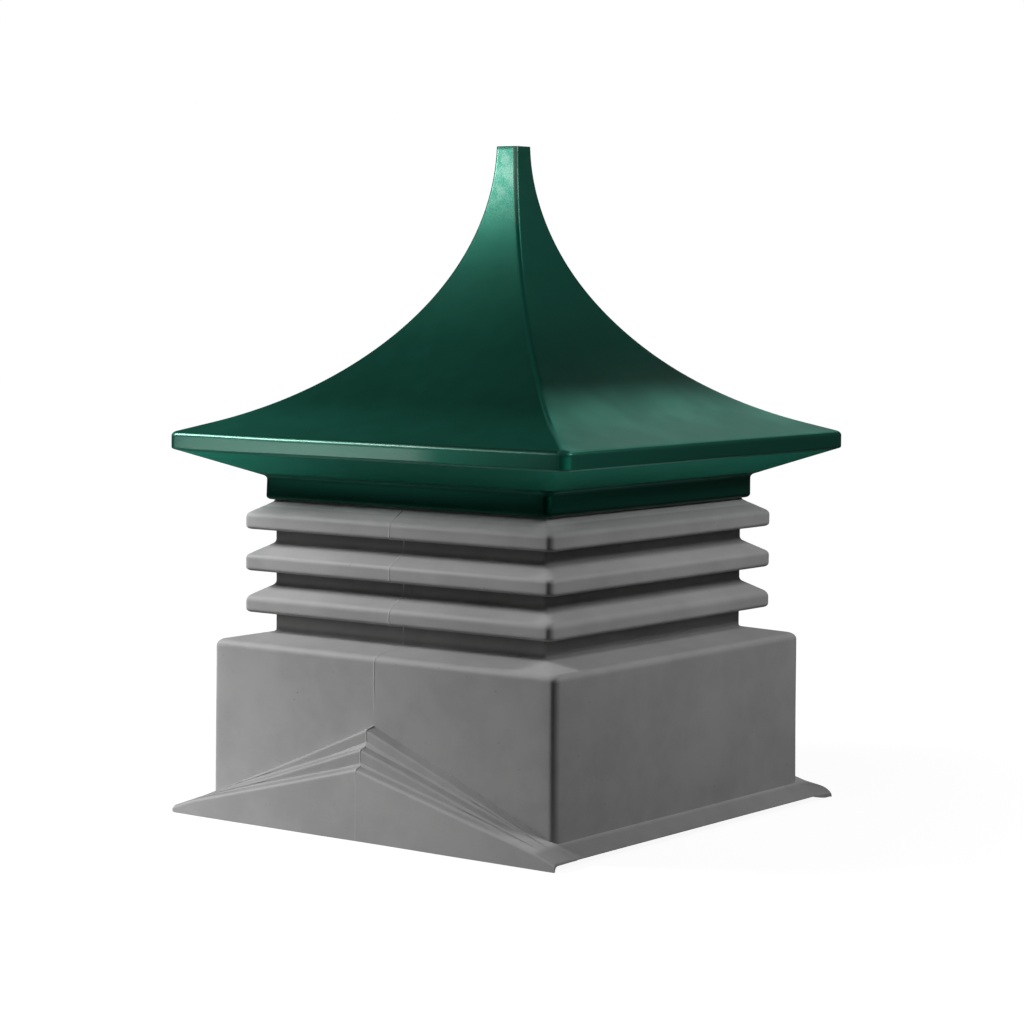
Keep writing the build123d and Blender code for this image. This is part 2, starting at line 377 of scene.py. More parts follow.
def dust_and_sheen_group():
    """Dust that settles on surfaces facing up, thicker in some patches than in others; on the green roof
    its lighter green is painted sheen.
    """
    group, source, sink = new_group("settled_dust_and_sheen", [
        ("Place", "NodeSocketVector", None), ("Amount", "NodeSocketFloat", 0.3),
        ("Facing Low", "NodeSocketFloat", 0.35), ("Facing High", "NodeSocketFloat", 0.95)],
        [("Cover", "NodeSocketFloat")])
    upward = axes(group, group.nodes.new("ShaderNodeNewGeometry").outputs["Normal"])[2]
    facing = rise(group, upward, source.outputs["Facing Low"], source.outputs["Facing High"])
    patches = spread(group, noise(group, source.outputs["Place"], 26.0, 4.0, 0.6), 0.35, 0.7, 0.25, 1.0)
    wire(group, (product(group, facing, patches, source.outputs["Amount"]), sink.inputs["Cover"]))
    return group


MOULDED, DUST_AND_SHEEN = moulded_group(), dust_and_sheen_group()


# ---- tones by place ---------------------------------------------------------------
# A band is the stretch over which one tone gives way to the next: levels and distances
# from the centre in metres, and tilts as parts of the normal.
FOOT_SHADE, COLLAR_UNDER, COLLAR_TOP = (0.3425, 0.3455), (0.350, 0.375), (0.372, 0.380)
EAVE_TOP, ABOVE_ARRIS, ABOVE_EAVE = (0.408, 0.412), (0.412, 0.418), (0.412, 0.430)
HIP_START, REFLECTION_END, TO_PEAK = (0.415, 0.440), (0.436, 0.474), (0.62, 0.71)
FASCIA_CORNER, COLLAR_CORNER = (0.2515, 0.2555), (0.182, 0.186)
SLOPING_UP, TURNED_RIGHT = (0.5, 0.8), (0.1, 0.3)

# Greens that the roof takes, as linear colours: painted sheen, reflection, light and shade, and the
# lighter near hip.
# painted sheen on the foot of the slopes; painted reflection low on the right slope
FOOT_PAINTED_SHEEN, PAINTED_REFLECTION = (0.0085, 0.072, 0.049, 1), (0.068, 0.275, 0.205, 1)
# painted light on undersides, below the collar and under the eave
UNDER_COLLAR_PAINTED_LIGHT, UNDER_EAVE_PAINTED_LIGHT = (0.009, 0.070, 0.048, 1), (0.03, 0.20, 0.14, 1)
# painted light and shade on upright faces turned right: collar and fascia
RIGHT_COLLAR_PAINTED_LIGHT, RIGHT_FASCIA_PAINTED_LIGHT = (0.009, 0.080, 0.056, 1), (0.0042, 0.034, 0.0235, 1)
# painted light on the peak's faces turned right; painted highlight on the fascia's near corner
RIGHT_PEAK_PAINTED_LIGHT, NEAR_CORNER_PAINTED_HIGHLIGHT = (0.0048, 0.040, 0.028, 1), (0.010, 0.085, 0.058, 1)
HIP_LOW_TONE, HIP_PEAK_TONE = (0.0065, 0.054, 0.037, 1), (0.115, 0.185, 0.15, 1)
# painted shade at the collar's foot and near corner
SHADED = (0.0016, 0.014, 0.0095, 1)
# painted light from below on the soffit, towards the front and towards the far right
FRONT_SOFFIT_PAINTED_LIGHT, RIGHT_SOFFIT_PAINTED_LIGHT = (0.043, 0.370, 0.250, 1), (0.058, 0.50, 0.34, 1)


def roof_painted_light_and_shade(tree, place, tilt, colour):
    """Roof colour by place, each tone laid over the last.

    A painted sheen lies on the foot of the slopes, and a painted reflection low on the right one.
    Undersides are paler with painted light from below.  Upright faces to the right have painted
    light and shade by their level: collar, fascia, peak.  The near corner of the fascia has a
    painted highlight, the foot and the near corner of the collar are darker with painted shade,
    and the near hip is lighter, palest at the peak.
    """
    x, y, z = axes(tree, place)
    right, _, up = tilt
    near = maths(tree, "MINIMUM", x, product(tree, y, -1.0))      # large only by the near corner
    # painted sheen on the foot of the slopes
    upturned = product(tree, rise(tree, z, *EAVE_TOP, 0.5), rise(tree, up, 0.84, 0.97))
    colour = mixed(tree, upturned, colour, FOOT_PAINTED_SHEEN)
    # painted reflection low on the right slope
    patches = spread(tree, noise(tree, place, 11.0, 2.0), 0.35, 0.65, 0.65, 1.0)
    painted_reflection = product(tree, fall(tree, z, *REFLECTION_END), rise(tree, right, 0.08, 0.2),
                       rise(tree, up, *SLOPING_UP), patches)
    colour = mixed(tree, painted_reflection, colour, PAINTED_REFLECTION)
    # undersides are paler: painted light from below
    underside = mixed(tree, rise(tree, z, *COLLAR_UNDER), UNDER_COLLAR_PAINTED_LIGHT, UNDER_EAVE_PAINTED_LIGHT)
    colour = mixed(tree, fall(tree, up, -0.7, -0.25), colour, underside)
    # painted light and shade on upright faces turned right, by level
    upright = mixed(tree, rise(tree, z, *COLLAR_TOP), RIGHT_COLLAR_PAINTED_LIGHT, RIGHT_FASCIA_PAINTED_LIGHT)
    upright = mixed(tree, rise(tree, z, *ABOVE_EAVE), upright, RIGHT_PEAK_PAINTED_LIGHT)
    colour = mixed(tree, rise(tree, right, 0.6, 0.95), colour, upright)
    # painted highlight on the near corner of the fascia
    arris = product(tree, rise(tree, near, *FASCIA_CORNER), fall(tree, z, *ABOVE_ARRIS),
                    fall(tree, right, 0.5, 0.9), rise(tree, right, 0.0, 0.12))
    colour = mixed(tree, arris, colour, NEAR_CORNER_PAINTED_HIGHLIGHT)
    # painted shade at the collar's foot and near corner
    foot = product(tree, fall(tree, z, *FOOT_SHADE), spread(tree, up, -0.1, 0.0, 1.0, 0.25))
    turn = product(tree, rise(tree, near, *COLLAR_CORNER, 0.7), fall(tree, z, *COLLAR_TOP))
    colour = mixed(tree, maths(tree, "MAXIMUM", foot, turn), colour, SHADED)
    off_hip = maths(tree, "ABSOLUTE", total(tree, x, y, 0.0010))
    hip = product(tree, fall(tree, off_hip, 0.0012, 0.0050, 0.9), rise(tree, x, 0.0, 0.004),
                  fall(tree, y, -0.004, 0.0), rise(tree, z, *HIP_START))
    return mixed(tree, hip, colour, mixed(tree, rise(tree, z, *TO_PEAK), HIP_LOW_TONE, HIP_PEAK_TONE))


def base_painted_light_and_shade(tree, place, tilt, colour):
    """Grey of the base by place: one, and a share for each place, times the colour.

    All of these shares are painted light and shade.  The ledges are darker on the left, and so
    are the flanges and the tips.  On the right the upper ledge is lighter, and the wall just above
    the skirt is darker.  The front panel is lighter, more so to the right.  A bare strip of the
    neck goes from lighter to darker upwards, under the louvre above.  The upper louvre's slopes
    are lighter, most of all on the right half of the front.
    """
    x, y, z = axes(tree, place)
    right, front, up = tilt
    skirt = fall(tree, z, 0.170, 0.180)
    rightward, outside = rise(tree, x, -0.06, 0.10), rise(tree, x, 0.226, 0.236)
    on_right = product(tree, rightward, maths(tree, "SUBTRACT", 1.0, outside))
    # painted shade on the ledges, darker on the left, and painted light on the upper ledge on the right
    upper_ledge = rise(tree, y, -0.2415, -0.2390, 0.14)
    ledge_shade_share = total(tree, product(tree, on_right, 0.28), product(tree, outside, 0.01), -0.23,
                  product(tree, on_right, upper_ledge))
    ledges = product(tree, rise(tree, up, 0.35, 0.85), skirt, ledge_shade_share)
    # painted shade on the wall just above the skirt, on the right
    over_pitch = total(tree, z, product(tree, maths(tree, "ABSOLUTE", x), PITCHES[0]))
    wall = product(tree, spread(tree, over_pitch, 0.116, 0.170, -0.06, 0.0), rightward, skirt,
                   fall(tree, up, 0.2, 0.5), rise(tree, y, -0.2315, -0.2305))
    # painted light on the front panel, more so to the right
    panel = product(tree, fall(tree, y, -0.2630, -0.2620), fall(tree, front, -0.9, -0.6),
                    spread(tree, x, -0.22, 0.22, 0.10, 0.22))
    # painted shade on the bare neck strips, darker upwards under each louvre
    pitch = (LOUVRE_LOWS[1] - LOUVRE_LOWS[0]) * METRES
    over_lowest = maths(tree, "SUBTRACT", z, LOUVRE_LOWS[0] * METRES)
    tier = maths(tree, "FRACT", maths(tree, "DIVIDE", over_lowest, pitch))
    outwards = maths(tree, "MAXIMUM", maths(tree, "ABSOLUTE", x), maths(tree, "ABSOLUTE", y))
    strips = product(tree, spread(tree, tier, 0.68, 1.0, 0.22, -0.42), rise(tree, z, 0.196, 0.204),
                     fall(tree, outwards, 0.1820, 0.1835), rise(tree, tier, 0.60, 0.66))
    # painted light on the upper louvre's slopes and its brow, against the eave's shadow
    sideways = maths(tree, "MAXIMUM", fall(tree, right, *TURNED_RIGHT),
                     spread(tree, y, -0.195, -0.140, 0.9, 0.28))
    slopes = product(tree, spread(tree, z, 0.3245, 0.3315, 0.15, 0.85), rise(tree, z, 0.318, 0.322),
                     rise(tree, up, *SLOPING_UP), spread(tree, x, -0.19, 0.0, 0.35, 1.25), sideways)
    tops = product(tree, rise(tree, z, 0.3310, 0.3325, 0.5), rise(tree, up, *SLOPING_UP))
    return scaled(tree, colour, total(tree, ledges, wall, strips, slopes, tops, panel, 1.0))


def soffit_painted_light(tree, place, tilt, colour):
    """Underside of the eave, with painted light from below: darkest behind the near corner, lighter
    towards the far ends.
    """
    x, y, _ = axes(tree, place)
    # painted light from below, towards the front and towards the far end on the right
    colour = mixed(tree, fall(tree, x, -0.26, 0.02), colour, FRONT_SOFFIT_PAINTED_LIGHT)
    far_right = product(tree, rise(tree, tilt[0], *TURNED_RIGHT), spread(tree, y, -0.22, 0.26, 0.05, 1.0))
    return mixed(tree, far_right, colour, RIGHT_SOFFIT_PAINTED_LIGHT)


def clear_film(tree, place, tilt, at_peak, on_fascia):
    """Weight of the clear film, in three stretches added together.

    It lies on the upright faces of the eave, but not towards the right, and on the turned
    edge above the front one, right of the middle.  Towards the peak it comes in blotches
    that gain weight.
    """
    x, _, z = axes(tree, place)
    _, front, up = tilt
    fascia = product(tree, rise(tree, z, 0.386, 0.392, on_fascia), fall(tree, z, 0.411, 0.415),
                     fall(tree, maths(tree, "ABSOLUTE", up), 0.3, 0.7), fall(tree, x, 0.06, 0.115))
    rim = product(tree, rise(tree, up, 0.2, 0.4), fall(tree, up, 0.8, 0.93),
                  fall(tree, front, -0.5, -0.3), rise(tree, z, 0.404, 0.407),
                  fall(tree, z, 0.4125, 0.4150), rise(tree, x, -0.05, 0.1))
    blotches = spread(tree, noise(tree, place, 95.0, 2.0), 0.35, 0.65, 0.4, 1.6)
    rising = product(tree, rise(tree, z, 0.60, 0.715, at_peak), blotches)
    return total(tree, fascia, product(tree, rim, 2.0 * on_fascia), rising)


# ---- plastics -----------------------------------------------------------------------
def plastic(name, dark, light, dust_and_sheen_tone, speck, dust, rough, rough_swing, bump, gloss, film=None,
            facing=(0.35, 0.95), place_tones=None):
    """Moulded plastic: a cloudy colour between two tones, specks, dust and a fine grain.

    gloss holds the shader's own constants by socket name.  film gives the weights of the
    clear film at the peak and on the fascia.  facing is the range of upward tilt over which
    dust thickens, and on the green roof its lighter tone is painted sheen.  place_tones turns
    the colour into one with painted light and shade laid on by place.
    """
    material = bpy.data.materials.new(name)
    material.use_nodes = True
    tree = material.node_tree
    shader = tree.nodes["Principled BSDF"]
    for label, value in gloss.items():
        shader.inputs[label].default_value = value
    place = tree.nodes.new("ShaderNodeTexCoord").outputs["Object"]
    tilt = axes(tree, tree.nodes.new("ShaderNodeNewGeometry").outputs["Normal"])
    skin = tree.nodes.new("ShaderNodeGroup")
    skin.node_tree = MOULDED
    # dust on faces turned up; on the green roof its lighter green is painted sheen
    upturned = tree.nodes.new("ShaderNodeGroup")
    upturned.node_tree = DUST_AND_SHEEN
    upturned.inputs["Amount"].default_value = dust
    upturned.inputs["Facing Low"].default_value, upturned.inputs["Facing High"].default_value = facing
    relief = tree.nodes.new("ShaderNodeBump")
    relief.inputs["Strength"].default_value = 1.0
    relief.inputs["Distance"].default_value = bump
    tone = mixed(tree, rise(tree, skin.outputs["Cloud"], 0.36, 0.64), dark, light)
    specked = mixed(tree, skin.outputs["Specks"], tone, speck)
    colour = mixed(tree, upturned.outputs["Cover"], specked, dust_and_sheen_tone)
    # painted light and shade laid on by place
    if place_tones:
        colour = place_tones(tree, place, tilt, colour)
    roughness = spread(tree, skin.outputs["Cloud"], 0.3, 0.7, rough - rough_swing, rough + rough_swing)
    wire(tree, (place, skin.inputs["Place"]), (place, upturned.inputs["Place"]),
         (skin.outputs["Height"], relief.inputs["Height"]),
         (relief.outputs["Normal"], shader.inputs["Normal"]),
         (colour, shader.inputs["Base Color"]), (roughness, shader.inputs["Roughness"]))
    if film:
        wire(tree, (clear_film(tree, place, tilt, *film), shader.inputs["Coat Weight"]))
    return material


SATIN = {"Specular IOR Level": 0.25, "IOR": 1.5}
GREEN_GLOSS = {"Specular IOR Level": 0.47, "IOR": 1.5, "Specular Tint": (0.0, 1.0, 0.62, 1),
               "Coat Roughness": 0.25}
SHEEN_TINT = (0.08, 1.0, 0.66, 1)
MATT = {"Specular IOR Level": 0.1, "IOR": 1.5, "Specular Tint": SHEEN_TINT,
        "Sheen Weight": 0.3, "Sheen Roughness": 0.4, "Sheen Tint": SHEEN_TINT}

grey = plastic("moulded_grey", dark=(0.345, 0.345, 0.345, 1), light=(0.39, 0.39, 0.388, 1),
               dust_and_sheen_tone=(0.46, 0.46, 0.45, 1), speck=(0.28, 0.28, 0.28, 1), dust=0.06,
               rough=0.58, rough_swing=0.05, bump=0.0004, place_tones=base_painted_light_and_shade, gloss=SATIN)
# a lighter copy of the grey for the seam bead: painted highlight
bead_grey_painted_highlight = plastic("bead_grey_painted_highlight", dark=(0.46, 0.46, 0.46, 1), light=(0.50, 0.50, 0.50, 1),
                    dust_and_sheen_tone=(0.50, 0.50, 0.49, 1), speck=(0.40, 0.40, 0.40, 1), dust=0.0,
                    rough=0.6, rough_swing=0.05, bump=0.0004, gloss=SATIN)
# its dusty tone, on faces turned up, is painted sheen
green = plastic("moulded_green", dark=(0.0035, 0.0285, 0.0192, 1), light=(0.0042, 0.0335, 0.0227, 1),
                dust_and_sheen_tone=(0.012, 0.100, 0.068, 1), speck=(0.003, 0.02, 0.014, 1), dust=0.25,
                rough=0.36, rough_swing=0.02, bump=0.0003, place_tones=roof_painted_light_and_shade,
                facing=(0.86, 0.96), film=(0.27, 0.45), gloss=GREEN_GLOSS)
# a lighter copy of the green for the soffit: its brightness is painted light from below
matt_green_painted_light = plastic("matt_green_painted_light", dark=(0.0090, 0.0860, 0.0580, 1), light=(0.0108, 0.1010, 0.0680, 1),
                     dust_and_sheen_tone=(0.010, 0.06, 0.042, 1), speck=(0.003, 0.03, 0.02, 1), dust=0.0,
                     rough=0.7, rough_swing=0.03, bump=0.0003, place_tones=soffit_painted_light, gloss=MATT)


# ---- base box and shoulder ------------------------------------------------------
def ledge(step, across, out):
    """Level of a skirt ledge, across from the ridge, at its root (out 0) or its lip (out 1)."""
    ridge = EAVE_LINE + BOX_HALF * PITCHES[step] + RIDGE_FALL * (0.5 - out)
    corner = FLANGE_TOP - CORNER_FALL * (step + out)
    return ridge + (corner - ridge) * across / BOX_HALF


def draft(level):
    """How far the box stands out at a level: all of its draft at the foot, none at the shoulder."""
    return BOX_DRAFT * (1 - np.clip(level / BOX_HEIGHT, 0, 1))


HINGE = 150.0


def gable_foot(points):
    """Lift the foot of the box: the front and back walls end on the upper pitch line.

    Below the hinge level a wall's height is squeezed evenly between its foot and that level.
    """
    points[..., :2] *= 1 + draft(points[..., 2:]) / BOX_HALF
    x, y, z = points[..., 0], points[..., 1], points[..., 2]
    side_foot = FLANGE_TOP - FLANGE_THICK
    ridge_foot = ledge(0, 0, 0) - SKIN * math.hypot(1, PITCHES[0])
    share = np.clip(np.abs(x) / np.maximum(np.abs(y), 1e-6), 0, 1)
    foot = np.where(np.abs(y) >= np.abs(x), ridge_foot + (side_foot - ridge_foot) * share, side_foot)
    points[..., 2] = np.where(z < HINGE, foot + z * (HINGE - foot) / HINGE, z)
    return points


def wall_drop(slope):
    """How far the inside's corner lies under the outside's where a wall meets a sloping one."""
    return SKIN * math.hypot(1, slope) - SKIN * slope


mid_strip = (SHOULDER_TOP + LOUVRE_LOWS[0]) / 2
shoulder_drop = wall_drop((SHOULDER_TOP - BOX_HEIGHT) / (BOX_HALF - NECK_HALF))
box_section = soften([
    (BOX_HALF, 0), (BOX_HALF, BOX_HEIGHT), (NECK_HALF, SHOULDER_TOP), (NECK_HALF, mid_strip),
    (NECK_HALF - SKIN, mid_strip), (NECK_HALF - SKIN, SHOULDER_TOP - shoulder_drop),
    (BOX_HALF - SKIN, BOX_HEIGHT - shoulder_drop), (BOX_HALF - SKIN, 0)],
    (0, BOX_EDGE, 3, 0, 0, 3, 3, 0))[0]
box_section = spaced(box_section, 14)
outward = np.clip((box_section[:, 0] - NECK_HALF) / (BOX_HALF - NECK_HALF), 0, 1)
box_radius = np.where(box_section[:, 1] > BOX_HEIGHT - 12,
                      NECK_ARRIS + (BOX_ARRIS - NECK_ARRIS) * outward, BOX_ARRIS)
box_points = gable_foot(carried_round(box_section, box_radius))
make_piece("base_box", box_points, grey,
           [side + "_wall" for side in SIDES] + [side + "_shoulder" for side in SIDES])

# ---- louvre tiers with the neck strips between them -----------------------------
louvre_drop = wall_drop((LOUVRE_RISE - LOUVRE_NOSE) / (NOSE_HALF - NECK_HALF))
strip_gap = LOUVRE_LOWS[1] - LOUVRE_LOWS[0] - LOUVRE_RISE
for tier, low, edge in zip(("lower", "middle", "upper"), LOUVRE_LOWS, LOUVRE_EDGES):
    foot = mid_strip if tier == "lower" else low - strip_gap / 2
    head = NECK_TOP if tier == "upper" else low + LOUVRE_RISE + strip_gap / 2
    brow, top, inner = low + LOUVRE_NOSE, low + LOUVRE_RISE, NECK_HALF - SKIN
    louvre_section = soften([
        (NECK_HALF, foot), (NECK_HALF, low), (NOSE_HALF, low), (NOSE_HALF, brow), (NECK_HALF, top),
        (NECK_HALF, head), (inner, head), (inner, top - louvre_drop),
        (NOSE_HALF - SKIN, brow - louvre_drop), (NOSE_HALF - SKIN, low + SKIN), (inner, low + SKIN),
        (inner, foot)],
        (0, LOUVRE_ROOT, LOUVRE_LIP, edge, LOUVRE_HEAD, 0, 0, 2, 2, 1.5, 1.5, 0))[0]
    louvre_section = spaced(louvre_section, 8)
    outward = np.clip((louvre_section[:, 0] - NECK_HALF) / (NOSE_HALF - NECK_HALF), 0, 1)
    louvre_radius = NECK_ARRIS + (LOUVRE_ARRIS - NECK_ARRIS) * outward
    stands_for = [side + "_" + tier + "_louvre" for side in SIDES]
    if tier == "upper":
        stands_for += [side + "_neck" for side in SIDES]
    make_piece(tier + "_louvre_tier", carried_round(louvre_section, louvre_radius), grey, stands_for)


# ---- stepped skirts -------------------------------------------------------------
SAG, SAG_BACK = (110.0, 190.0), (200.0, 240.0)  # where a sagging lip goes down, and comes half way up
THINNING, PANEL_THINNING = (212.0, 236.0), 3.1  # where the skin thins to a tip, and what the panel loses
NIP, PANEL_NIP = 9.0, 2.5                       # largest rounding of a tip at the ledges and at the panel
TIP_WALL, TIP_SKIN, TIP_FLOOR = 0.9, 0.6, 0.5   # least heights over the bottom, outside and inside
STEP_ROUNDS = (3.2, 3.0, 3.6, 3.0, 4.2)         # radii of the lips and feet of the steps, from above
PANEL_COVE, COVE_GRIP = 9.0, 0.82               # hollow behind the panel's top, and its share of a run


def ramp(value, low, high):
    """The share of the way from low to high."""
    return np.clip((value - low) / (high - low), 0, 1)


def eased(value, low, high):
    """The share of the way, level at both ends: three times its square less twice its cube."""
    share = ramp(value, low, high)
    return share ** 2 * (3 - 2 * share)


def skirt_run(halves, rounds):
    """Distances across at which the sections stand, closest over the ridge and round the tips."""
    near = np.linspace(3, 8, 3)
    far = np.linspace(near[-1], BOX_HALF, 56)[1:]
    middle = np.concatenate((-far[::-1], -near[::-1], np.linspace(-2, 2, 5), near, far))
    tips = [np.concatenate((np.linspace(BOX_HALF, half - size, 9)[1:-1],
                            half - size * (1 - np.sin(np.linspace(0, math.pi / 2, 9)))))
            for half, size in zip(halves, rounds)]
    return np.concatenate((-tips[0][::-1], middle, tips[1]))


def skirt(side, halves, rounds, droop, lifts, web=0.0):
    """Stepped skirt across a gable: a section whose ledges keep their pitch lines along the run.

    Each section stands at one distance across.  Beyond the box corner every ledge goes
    on at the fall of the flange.  halves and rounds give how far the start and the end
    of the run reach, and how far they are rounded off, in a quarter circle.  droop lowers
    the lip towards the start, in a half wave that comes half way up again.  lifts give how
    much of the flange's fall the lip leaves out beyond the box corner, at the start and at
    the end.  web fills the hollow behind the lip at the start, from nothing at the box to
    all of it at the tip.
    """
    run = skirt_run(halves, rounds)
    across = np.abs(run)
    half, size = np.where(run < 0, halves[0], halves[1]), np.where(run < 0, rounds[0], rounds[1])
    within = np.minimum(across, BOX_HALF)
    flange_drop = (across - within) * FLANGE_FALL
    lift = np.where(run < 0, lifts[0], lifts[1])

    shares = [(depth - BOX_HALF) / (DEPTHS[3] - BOX_HALF) for depth in DEPTHS]
    sag_shares = (0.0, 0.3, 0.6, 1.0)

    def line(step, out):
        """Level of a ledge along the run, at its root (out 0) or its lip (out 1)."""
        return ledge(step, within, out) - flange_drop * (1 - lift * shares[step + out])

    root, lips = line(0, 0), [line(step, 1) for step in range(3)]
    feet = [np.minimum(line(step + 1, 0), lips[step] - 0.05) for step in range(2)]
    rounding = ramp(across, half - size, half)
    nip = 0.8 * np.minimum(size, NIP) * (1 - np.sqrt(1 - rounding ** 2))
    sag = droop * eased(-run, *SAG) * (1 - 0.5 * eased(-run, *SAG_BACK))
    bottom = 0.5 * np.minimum(nip, PANEL_NIP)
    beyond = (across - within) / (half - BOX_HALF)
    thin = ramp(across, *THINNING)
    thick = FLANGE_THICK + (FLANGE_LIP - FLANGE_THICK) * beyond
    drops = [SKIN * math.hypot(1, pitch) * (1 - thin) + thick * thin for pitch in PITCHES]
    filled = np.where(run < 0, web, 0.0) * beyond
    panel = DEPTHS[3] - (SKIN - PANEL_THINNING * thin)

    def outer(level, step):
        """A level of the outside, lowered by its share of the sag and of the rounding of the end."""
        return np.maximum(level - sag_shares[step] * sag - shares[step] * nip, bottom + TIP_WALL)

    def inner(level, step, drop):
        """A level of the inside, a wall under the outside."""
        level = np.maximum(level - drop, bottom + TIP_SKIN) - sag_shares[step] * sag - shares[step] * nip
        return np.maximum(level - filled * shares[step] * (level - bottom), bottom + TIP_FLOOR)

    corners = [(BOX_HALF - 0.5, outer(root, 0)), (DEPTHS[1], outer(lips[0], 1)),
               (DEPTHS[1], outer(feet[0], 1)), (DEPTHS[2], outer(lips[1], 2)),
               (DEPTHS[2], outer(feet[1], 2)), (DEPTHS[3], outer(lips[2], 3)),
               (DEPTHS[3], bottom), (panel, bottom), (panel, inner(lips[2], 3, drops[2])),
               (DEPTHS[2] - SKIN, inner(lips[1], 2, drops[1])),
               (DEPTHS[1] - SKIN, inner(lips[0], 1, drops[0])),
               (BOX_HALF - SKIN, inner(root, 0, drops[0]))]
    corners = np.stack([np.stack(np.broadcast_arrays(depth, level), -1) for depth, level in corners], 1)
    radii = (0, *STEP_ROUNDS, 0.5, 0.5, PANEL_COVE, 2, 2, 0)
    grips = [GRIP] * len(radii)
    grips[radii.index(PANEL_COVE)] = COVE_GRIP
    section = soften(corners, radii, 6, grips)
    turn = 1 if side == "front" else -1
    across_run = np.broadcast_to(turn * run[:, None], section.shape[:2])
    points = np.stack((across_run, -turn * section[..., 0], section[..., 1]), -1)
    make_piece(side + "_skirt", points.transpose(1, 0, 2), grey,
               [side + "_" + step for step in ("upper_step", "middle_step", "lower_panel")], ends=True)


skirt("front", (LEFT_REACH, FLANGE_HALF), (3.2, 1.5), 0.0, (0.3, 0.3))
skirt("back", (FLANGE_HALF, LEFT_REACH), (12.0, 3.2), 5.0, (0.69, 0.3), 1.0)


# ---- eave flanges ---------------------------------------------------------------
def flange(side):
    """Thin flange: one section carried along a side wall, thinner towards its rounded lip.

    Its root starts one millimetre inside the wall.
    """
    reach = LEFT_REACH if side == "left" else FLANGE_HALF
    tip = FLANGE_TOP - (reach - BOX_HALF) * FLANGE_FALL
    root_half, root = BOX_HALF - 1.0, FLANGE_TOP + 0.4
    section = soften([(root_half, root), (reach, tip), (reach, tip - FLANGE_LIP),
                      (root_half, root - FLANGE_THICK)], (0, 0.7, 0.7, 0), 4)[0]
    section = spaced(section, 6)
    run = np.linspace(-BOX_HALF, BOX_HALF, 47)
    turn = 1 if side == "right" else -1
    points = np.empty((len(section), len(run), 3))
    points[..., 0] = turn * section[:, 0, None]
    points[..., 1] = run
    points[..., 2] = section[:, 1, None]
    make_piece(side + "_eave_flange", points, grey, [side + "_flange"], ends=True)


flange("right")
flange("left")


# ---- roof -----------------------------------------------------------------------
FOOT_TURN = math.atan2(BELL_LEVEL - FOOT_LEVEL, BELL_CENTRE - FOOT_HALF)


def bell(inset, high_level, count):
    """Points up the bell arc, its radius grown by inset: from the foot's turn to a level."""
    radius = BELL_RADIUS + inset
    turns = np.linspace(FOOT_TURN, math.asin((BELL_LEVEL - high_level) / radius), count)
    return np.column_stack((BELL_CENTRE - radius * np.cos(turns), BELL_LEVEL - radius * np.sin(turns)))


def nearest(section, point):
    """Which point of a section lies nearest to a given one."""
    return int(np.argmin(np.linalg.norm(section - point, axis=1)))


board_rise = SOFFIT_RISE / (EAVE_HALF - COLLAR_HALF)
fascia_low = SOFFIT_ROOT + SOFFIT_RISE
outer_arc, inner_arc = bell(0, ROOF_TOP, 60), bell(SKIN, STUB_LOW, 50)
inner_eave_level = inner_arc[0, 1] - (EAVE_HALF - SKIN - inner_arc[0, 0]) / math.tan(FOOT_TURN)
eave_part = soften([
    (EAVE_HALF - SKIN, fascia_low - SKIN * board_rise), (EAVE_HALF, fascia_low), (EAVE_HALF, FASCIA_TOP),
    outer_arc[0], inner_arc[0], (EAVE_HALF - SKIN, inner_eave_level)],
    (0, FASCIA_FOOT, FASCIA_EDGE, 0, 0, 1.5))[0]
eave_part = spaced(eave_part, 5)
peak_half, bore = outer_arc[-1, 0], ROD_BORE / 2
crown = [(peak_half - 0.25, ROOF_TOP), (peak_half - 0.8, ROOF_TOP), (peak_half - 3, ROOF_TOP)]
roof_outside = np.concatenate((eave_part[:nearest(eave_part, outer_arc[0]) + 1], outer_arc[1:-1],
                               outer_arc[-1:] - (0, 0.5), crown))
roof_bore = np.array([(bore + 0.7, ROOF_TOP), (bore + 0.2, ROOF_TOP - 0.2), (bore, ROOF_TOP - 0.8),
                      (bore, (ROOF_TOP + STUB_LOW) / 2), (bore, STUB_LOW)])
roof_inside = np.concatenate((inner_arc[:0:-1], eave_part[nearest(eave_part, inner_arc[0]):]))
roof_section = np.concatenate((roof_outside, roof_bore, roof_inside))
outward = 1 - np.clip((EAVE_HALF - roof_section[:, 0]) / (EAVE_HALF - peak_half), 0, 1)
roof_radius = HIP_ROUND + (EAVE_CORNER - HIP_ROUND) * outward ** 2.2
roof_radius[len(roof_outside):-len(roof_inside)] = roof_bore[:, 0]      # the bore is round
make_piece("bell_roof", carried_round(roof_section, roof_radius), green,
           [side + "_roof_slope" for side in SIDES] + ["peak_stub"])


# Soffit board, from the collar's cove out to the inside of the fascia.
def board_level(half):
    """Underside of the soffit at a distance from the centre."""
    return SOFFIT_ROOT + board_rise * (half - COLLAR_HALF)


board_in, board_out = COLLAR_HALF + COVE, EAVE_HALF - SKIN + 0.4
board_skin = SKIN * math.hypot(1, board_rise)
board_start, board_end = board_level(board_in), board_level(board_out)
board_section = np.array([(board_in, board_start), (board_out, board_end),
                          (board_out, board_end + board_skin), (board_in, board_start + board_skin)])
board_section = spaced(board_section, 6)
outward = (board_section[:, 0] - COLLAR_HALF) / (board_out - COLLAR_HALF)
board_radius = COLLAR_ARRIS + (EAVE_CORNER - COLLAR_ARRIS) * outward
make_piece("soffit_board", carried_round(board_section, board_radius), matt_green_painted_light,
           [side + "_soffit" for side in SIDES])

